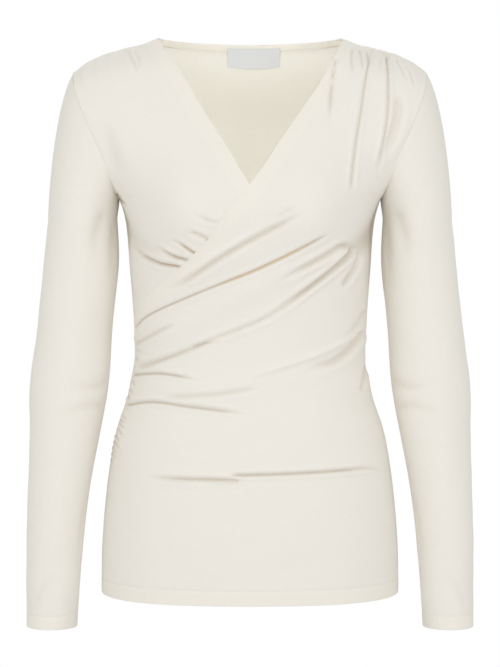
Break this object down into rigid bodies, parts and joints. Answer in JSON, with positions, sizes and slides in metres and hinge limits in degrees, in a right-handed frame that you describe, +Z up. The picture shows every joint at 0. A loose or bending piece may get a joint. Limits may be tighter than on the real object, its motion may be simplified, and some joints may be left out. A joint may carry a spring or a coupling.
{
  "type": "wrap top",
  "caption": "Long-sleeved jersey wrap top with a crossed V neck, gathers at the shoulders and in one side seam, held in its worn shape with nobody in it.",
  "frame": {"origin": "midway between the two neck points, at the top of the shoulder seams, where the wearer's shoulders carry the top", "axes": "+Z up, the front faces -Y, +X to the wearer's left"},
  "size_m": [0.52, 0.2363, 0.682],
  "materials": {
    "jersey": "fine smooth viscose jersey, cream, with a soft low sheen",
    "label": "blank woven satin label, pale grey-white"
  },
  "bodies": {
    "root": {"over_front": "jersey", "under_front": "jersey", "back": "jersey", "neck_band": "jersey", "neck_label": "label", "sleeve_left": "jersey", "sleeve_right": "jersey"}
  },
  "joints": []
}
